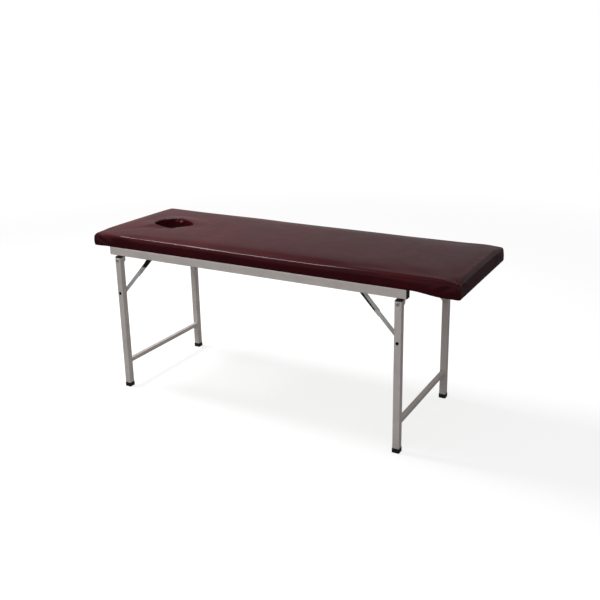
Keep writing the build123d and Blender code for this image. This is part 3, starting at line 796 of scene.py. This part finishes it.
def hole_rings(loop):
    """Rings from a loop in to the face hole, over its rim, down the lining and out under the board."""
    count = len(loop)
    edge = hole_outline(count, 0.0)
    rim_start = hole_outline(count, RIM)
    rings = []
    for share in RING_SHARES:
        flat = rim_start + (loop - rim_start) * share
        puff = rim_puff(rim_start, np.hypot(*(flat - rim_start).T))
        rings.append(np.column_stack((flat, top_height(*flat.T) + puff)))
    roll = rim_puff(rim_start, np.zeros(count))
    for turn in np.radians(RIM_TURNS):
        flat = hole_outline(count, RIM * (1 - math.sin(turn)))
        sink = RIM * (1 - math.cos(turn)) - roll
        rings.append(np.column_stack((flat, top_height(*flat.T) - sink)))
    wall_top = rings[-1][:, 2]
    folds = gathers(count)
    tucked = sum(bell(np.hypot(*(edge - (x, y)).T), size, 0, TUCK_WIDTH) for x, y, size in TUCKS)
    for share in WALL_SHARES:
        height = wall_top + (PAD_BOTTOM + WALL_FOOT - wall_top) * share
        depth = wall_top - height
        pinch = folds * gather_share(share) + tucked * climb(depth, *TUCK_TOP) * climb(depth, *TUCK_BOTTOM)
        rings.append(np.column_stack((wall_outline(count, pinch), height)))
    under = [(FOOT_ROLL[0], PAD_BOTTOM + FOOT_ROLL[1])]
    under += [(grow, PAD_BOTTOM) for grow in FLANGE_STEPS]
    under += [(LINING_FLANGE, BOARD_UNDERSIDE - SKIN)]
    for grow, height in under:
        rings.append(np.column_stack((hole_outline(count, grow), np.full(count, height))))
    return np.array(rings)


def frame_rows(xs, ys):
    """Rows round the field: shoulder, side, hem and the wrap under the board."""
    long_share, short_share = (xs + FIELD_X) / (2 * FIELD_X), (ys + FIELD_Y) / (2 * FIELD_Y)
    sides = [part[:-1] for part in (long_share, short_share, 1 - long_share[::-1], 1 - short_share[::-1])]
    inner = np.vstack((
        [(x, -FIELD_Y) for x in xs[:-1]],
        [(FIELD_X, y) for y in ys[:-1]],
        [(x, FIELD_Y) for x in xs[::-1][:-1]],
        [(-FIELD_X, y) for y in ys[::-1][:-1]],
    ))
    edge = outer_outline(sides)
    rows = []

    def add_row(inset, height=None):
        share = np.broadcast_to(inset / FRAME_INSET, len(edge))
        flat = edge + (inner - edge) * share[:, None]
        height = top_height(*flat.T) if height is None else np.broadcast_to(height, len(edge))
        rows.append(np.column_stack((flat, height)))

    shoulder = shoulder_radius(*edge.T)
    flat_start = np.minimum(shoulder, FRAME_INSET - FLAT_LEAST)
    for share in SHOULDER_SHARES:
        add_row(FRAME_INSET + (flat_start - FRAME_INSET) * share)
    rim_height = rows[-1][:, 2]
    for turn in np.radians(SHOULDER_TURNS):
        inset = SHOULDER_LIP + (shoulder - SHOULDER_LIP) * (1 - math.sin(turn))
        add_row(inset, rim_height - shoulder * (1 - math.cos(turn)))
    shoulder_foot = rim_height - shoulder
    slump = hem_slump(edge[:, 0])
    foot = PAD_BOTTOM + HEM_RADIUS - slump
    flare = HEM_FLARE * slump / HEM_SLUMP
    for share, draw in SIDE_DRAWS:
        add_row(draw - flare * share, shoulder_foot + (foot - shoulder_foot) * share)
    for turn in np.radians(HEM_TURNS):
        inset = HEM_DRAW + HEM_RADIUS * (1 - math.cos(turn)) - flare
        add_row(inset, PAD_BOTTOM - slump + HEM_RADIUS * (1 - math.sin(turn)))
    for draw, share in UNDER_ROWS:
        add_row(draw, PAD_BOTTOM - slump * share)
    add_row(WRAP, BOARD_UNDERSIDE - SKIN)
    return np.array(rows)


def cover_mesh():
    """Sheet of the cover: top, face hole, sides and the hem under the board, in one welded mesh of quads."""
    head_part = graded(-FIELD_X, FIELD_SPLIT, (True, False))
    foot_part = graded(FIELD_SPLIT, FIELD_X, (False, True))
    xs = np.unique(np.r_[head_part, foot_part])
    ys = graded(-FIELD_Y, FIELD_Y, (True, True))
    field_x, field_y = np.meshgrid(xs[xs >= FIELD_SPLIT - TINY], ys, indexing="ij")
    field = np.dstack((field_x, field_y, top_height(field_x, field_y)))
    points, faces = [], []
    for grid, closed in ((field, False), (hole_rings(head_loop(xs, ys)), True), (frame_rows(xs, ys), True)):
        base = sum(len(part) for part in points)
        points.append(grid.reshape(-1, 3))
        faces += [[base + corner for corner in face] for face in sheet_faces(*grid.shape[:2], closed)]
    mesh = bpy.data.meshes.new("pad_cover")
    mesh.from_pydata(np.vstack(points).tolist(), [], faces)
    made = bmesh.new()
    made.from_mesh(mesh)
    bmesh.ops.remove_doubles(made, verts=made.verts, dist=WELD_GAP)
    bmesh.ops.recalc_face_normals(made, faces=made.faces)
    made.to_mesh(mesh)
    made.free()
    mesh.validate()
    return mesh


# Settling of the cover over its filling

SETTLE_FRAMES = 20
SETTLE_CAP = 0.004
EVEN_ROUNDS = 8
HELD_BELOW = 0.006
CLOTH = {
    "quality": 4,
    "mass": 0.3,
    "tension_stiffness": 40,
    "compression_stiffness": 40,
    "shear_stiffness": 20,
    "bending_stiffness": 4,
    "use_pressure": True,
    "uniform_pressure_force": 4.0,
}
CORNER_HOLD = 0.16
END_HOLD = (0.7, 0, 0.03)
HOLE_HOLD = (0.9, 0, 0.07)


def read_points(mesh):
    """Vertex places of a mesh as an array."""
    flat = np.empty(len(mesh.vertices) * 3)
    mesh.vertices.foreach_get("co", flat)
    return flat.reshape(-1, 3)


def give(points):
    """Share of the settling that each place keeps: the folded corners and the sewn hole hold their form."""
    x, y = points[:, 0], points[:, 1]
    from_end, from_side = insets(x, y)
    from_hole = np.hypot((x - BROW[0] - 0.02) / 1.1, y) - BROW[1]
    free = 1 - np.exp(-((np.hypot(from_end, from_side) / CORNER_HOLD) ** 4))
    free *= 1 - bell(from_end, *END_HOLD)
    return free * (1 - bell(np.clip(from_hole, 0, None), *HOLE_HOLD))


def evened(moved, mesh):
    """Moves averaged with those of their neighbours, a few times over."""
    ends = np.empty(len(mesh.edges) * 2, dtype=int)
    mesh.edges.foreach_get("vertices", ends)
    ends = ends.reshape(-1, 2)
    count = np.bincount(ends.ravel(), minlength=len(moved))[:, None]
    for _ in range(EVEN_ROUNDS):
        total = np.zeros_like(moved)
        np.add.at(total, ends[:, 0], moved[ends[:, 1]])
        np.add.at(total, ends[:, 1], moved[ends[:, 0]])
        moved = 0.5 * moved + 0.5 * total / count
    return moved


def settle(piece):
    """Lets the cover stretch over its filling: pressed out from inside, held at the board, moves capped."""
    mesh = piece.data
    rest = read_points(mesh)
    held = piece.vertex_groups.new(name="held")
    low = np.flatnonzero(rest[:, 2] < PAD_BOTTOM + HELD_BELOW)
    held.add(low.tolist(), 1.0, "REPLACE")
    cloth = piece.modifiers.new("settle", "CLOTH")
    for key, value in CLOTH.items():
        setattr(cloth.settings, key, value)
    cloth.settings.vertex_group_mass = held.name
    cloth.settings.effector_weights.gravity = 0
    cloth.point_cache.frame_end = SETTLE_FRAMES
    for step in range(1, SETTLE_FRAMES + 1):
        bpy.context.scene.frame_set(step)
    shaped = piece.evaluated_get(bpy.context.evaluated_depsgraph_get()).to_mesh()
    moved = read_points(shaped) - rest
    piece.to_mesh_clear()
    bpy.context.scene.frame_set(1)
    piece.modifiers.remove(cloth)
    piece.vertex_groups.remove(held)
    length = np.linalg.norm(moved, axis=1)
    kept = np.where(length > 0, SETTLE_CAP * np.tanh(length / SETTLE_CAP) / np.maximum(length, TINY), 0)
    kept *= give(rest)
    mesh.vertices.foreach_set("co", (rest + evened(moved * kept[:, None], mesh)).ravel())
    mesh.update()


def subdivide(piece):
    """Works one smooth subdivision into the piece's mesh."""
    smooth = piece.modifiers.new("smooth", "SUBSURF")
    smooth.levels = smooth.render_levels = 1
    fine = bpy.data.meshes.new_from_object(piece.evaluated_get(bpy.context.evaluated_depsgraph_get()))
    piece.modifiers.remove(smooth)
    piece.data = fine


def make_cover():
    """The upholstered pad's cover, as one piece."""
    cover = bpy.data.objects.new("pad_cover", cover_mesh())
    bpy.context.collection.objects.link(cover)
    settle(cover)
    subdivide(cover)
    press_folds(cover.data)
    add_folds(cover.data)
    cover.data.polygons.foreach_set("use_smooth", [True] * len(cover.data.polygons))
    return cover


# Weld beads and staples

WIRE_SIDES = 6
WELD_STATIONS = 132
WELD_RADIUS = 0.0016
WELD_INSET = 0.0008
WELD_LIFT = 0.0004
WELD_SQUARENESS = 0.22
CROSS_TUBES = [f"cross_tube_{index}" for index in range(1, 6)]
WELDS = {
    "table_top": CROSS_TUBES,
    "head_legs": ["head_crossbar"],
    "foot_legs": ["foot_crossbar"],
}
STAPLE_WIRE = 0.0005
STAPLE_CROWN, STAPLE_BENT, STAPLE_LEG = 0.0048, 0.005, 0.002
STAPLE_SINK = 0.0003
STAPLE_INSET = 0.050
STAPLE_SPACING = 0.042
STAPLE_CLEAR = 0.012
STAPLE_SLIP, STAPLE_STRAY = 0.004, 0.003
SIDE_SLANT, END_SLANT = 0.3, 1.3
RING_STAPLES, RING_GROW = 29, 0.028


def wire_piece(name, paths, closed=False):
    """Round wires of varying radius along lists of (point, radius, first side vector, second side vector)."""
    points, faces = [], []
    sides = WIRE_SIDES
    for path in paths:
        base = len(points)
        for point, radius, first, second in path:
            for turn in np.linspace(0, 2 * math.pi, sides, endpoint=False):
                points.append(point + radius * (first * math.cos(turn) + second * math.sin(turn)))
        stations = len(path)
        for r in range(stations if closed else stations - 1):
            for c in range(sides):
                d, q = (c + 1) % sides, (r + 1) % stations
                faces.append([base + i for i in (r * sides + c, r * sides + d, q * sides + d, q * sides + c)])
        if not closed:
            faces.append([base + c for c in range(sides)][::-1])
            faces.append([base + (stations - 1) * sides + c for c in range(sides)])
    mesh = bpy.data.meshes.new(name)
    mesh.from_pydata([tuple(point) for point in points], [], faces)
    made = bmesh.new()
    made.from_mesh(mesh)
    bmesh.ops.recalc_face_normals(made, faces=made.faces)
    made.to_mesh(mesh)
    made.free()
    mesh.polygons.foreach_set("use_smooth", [True] * len(mesh.polygons))
    piece = bpy.data.objects.new(name, mesh)
    bpy.context.collection.objects.link(piece)
    return piece


def weld_path(low, high, y, out):
    """Stations of a rippled weld bead round the end of a square tube, at one place along Y."""
    centre = Vector(((low.x + high.x) / 2, y, (low.z + high.z) / 2))
    half_x, half_z = (high.x - low.x) / 2, (high.z - low.z) / 2
    stations = []
    for index in range(WELD_STATIONS):
        turn = 2 * math.pi * index / WELD_STATIONS
        cosine, sine = math.cos(turn), math.sin(turn)
        x = half_x * math.copysign(abs(cosine) ** WELD_SQUARENESS, cosine)
        z = half_z * math.copysign(abs(sine) ** WELD_SQUARENESS, sine)
        outward = Vector((x / half_x**2, 0, z / half_z**2)).normalized()
        ripple = 1 + 0.22 * math.sin(index * 1.9) + 0.12 * RNG.uniform(-1, 1)
        point = centre + Vector((x, 0, z)) + outward * WELD_LIFT
        stations.append((point, WELD_RADIUS * ripple, outward, Vector((0, out, 0))))
    return stations


def make_welds():
    """Weld beads where the cross tubes meet the rails and the crossbars meet the legs."""
    for body, nodes in WELDS.items():
        paths = []
        for node in nodes:
            low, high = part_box(node)
            paths.append(weld_path(low, high, low.y + WELD_INSET, 1))
            paths.append(weld_path(low, high, high.y - WELD_INSET, -1))
        beads = wire_piece(f"weld_beads_{body}", paths, closed=True)
        beads.data.materials.append(GREY)
        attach(beads, body)


def staple(x, y, ahead):
    """Stations of one staple's bent wire, its crown along the given direction."""
    turned = ahead + RNG.uniform(-0.2, 0.2)
    along = Vector((math.cos(turned), math.sin(turned), 0))
    across = Vector((-along.y, along.x, 0))
    up = Vector((0, 0, 1))
    base = Vector((x, y, PAD_BOTTOM - STAPLE_SINK))
    return [
        (base - along * STAPLE_BENT + up * STAPLE_LEG, STAPLE_WIRE, across, along),
        (base - along * STAPLE_CROWN, STAPLE_WIRE, across, (up + along).normalized()),
        (base + along * STAPLE_CROWN, STAPLE_WIRE, across, (up - along).normalized()),
        (base + along * STAPLE_BENT + up * STAPLE_LEG, STAPLE_WIRE, across, along),
    ]


def make_staples():
    """Staples that hold the hem and the hole's lining to the underside of the board."""
    tubes = [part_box(node) for node in CROSS_TUBES]
    paths = []

    def place(x, y, ahead):
        for low, high in tubes:
            if low.x - STAPLE_CLEAR < x < high.x + STAPLE_CLEAR and low.y < y < high.y:
                return
        paths.append(staple(x, y, ahead))

    for side in (-1, 1):
        for x in np.arange(-HALF_LENGTH + 0.03, HALF_LENGTH - 0.02, STAPLE_SPACING):
            x += RNG.uniform(-STAPLE_SLIP, STAPLE_SLIP)
            y = side * (HALF_WIDTH - STAPLE_INSET + RNG.uniform(-STAPLE_STRAY, STAPLE_STRAY))
            place(x, y, SIDE_SLANT)
        for y in np.arange(-HALF_WIDTH + 0.07, HALF_WIDTH - 0.06, STAPLE_SPACING):
            x = side * (HALF_LENGTH - STAPLE_INSET + RNG.uniform(-STAPLE_STRAY, STAPLE_STRAY))
            place(x, y + RNG.uniform(-STAPLE_SLIP, STAPLE_SLIP), END_SLANT)
    ring = hole_outline(RING_STAPLES, RING_GROW)
    for (x, y), (next_x, next_y) in zip(ring, np.roll(ring, -1, axis=0)):
        place(x, y, math.atan2(next_y - y, next_x - x))
    staples = wire_piece("hem_staples", paths)
    staples.data.materials.append(ZINC)
    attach(staples, "table_top")


# The whole scene

bpy.context.scene.view_settings.view_transform = "Standard"
make_camera()
make_floor()
make_sky()
make_lamps()

VINYL = vinyl_material()
GREY = coat_material("grey_coat", linear(209, 201, 197))
STAY = coat_material("stay_coat", linear(210, 210, 207), dirt=0.5, metal=0.2)
ZINC = plated_material("zinc", linear(214, 213, 208), rough=0.26, metal=0.9)
BLACK_BOLT = plated_material("black_bolt", linear(40, 38, 38), rough=0.4)
BLACK = plastic_material("black_plastic", linear(22, 21, 21))
NYLON = plastic_material("nylon", linear(214, 212, 204), rough=0.5)
PLYWOOD = plywood_material()

SLOT_MATERIALS = {
    "vinyl": VINYL,
    "foam": VINYL,
    "plywood": PLYWOOD,
    "grey_paint": GREY,
    "stay_steel": STAY,
    "zinc": ZINC,
    "black_bolt": BLACK_BOLT,
    "black_plastic": BLACK,
    "nylon": NYLON,
}


def dress(node, material):
    """Gives a node of the solids its one material."""
    NODES[node].data.materials.clear()
    NODES[node].data.materials.append(material)


for part in frame["record"]["subparts"]:
    dress(part["node"], SLOT_MATERIALS[part["material_slot"]])

# Painted shade on the upper links, for the shadow of the rails and of the links' channels: black at the end
# under the head rails, along one long edge under the foot rails
HEAD_PAINTED_SHADE = (0.617, 2.0)
FOOT_PAINTED_SHADE = (-0.03, -0.001)
FOOT_PAINTED_SHADE_ABOVE = 0.012
for side in ("near", "far"):
    dress(f"head_{side}_upper_link", stay_material_with_painted_shade(f"head_{side}_link", (0, 0, 1), *HEAD_PAINTED_SHADE, 0.0))
    low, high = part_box(f"foot_{side}_upper_link")
    run = Vector((high.x - low.x, 0, low.z - high.z)).normalized()
    across = Vector((-run.z, 0, run.x))
    middle = across.dot(Vector(((low.x + high.x) / 2, 0, (low.z + high.z) / 2)))
    black = [middle + reach for reach in FOOT_PAINTED_SHADE]
    # Material with the painted shade along the foot link's shaded edge
    shade_painted_material = stay_material_with_painted_shade(f"foot_{side}_link", across, *black, low.z + FOOT_PAINTED_SHADE_ABOVE)
    dress(f"foot_{side}_upper_link", shade_painted_material)

make_welds()
make_staples()
cover = make_cover()
cover.data.materials.append(VINYL)
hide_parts("vinyl_cover", "face_hole_lining", "foam_core")
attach(cover, "table_top")

low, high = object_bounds()
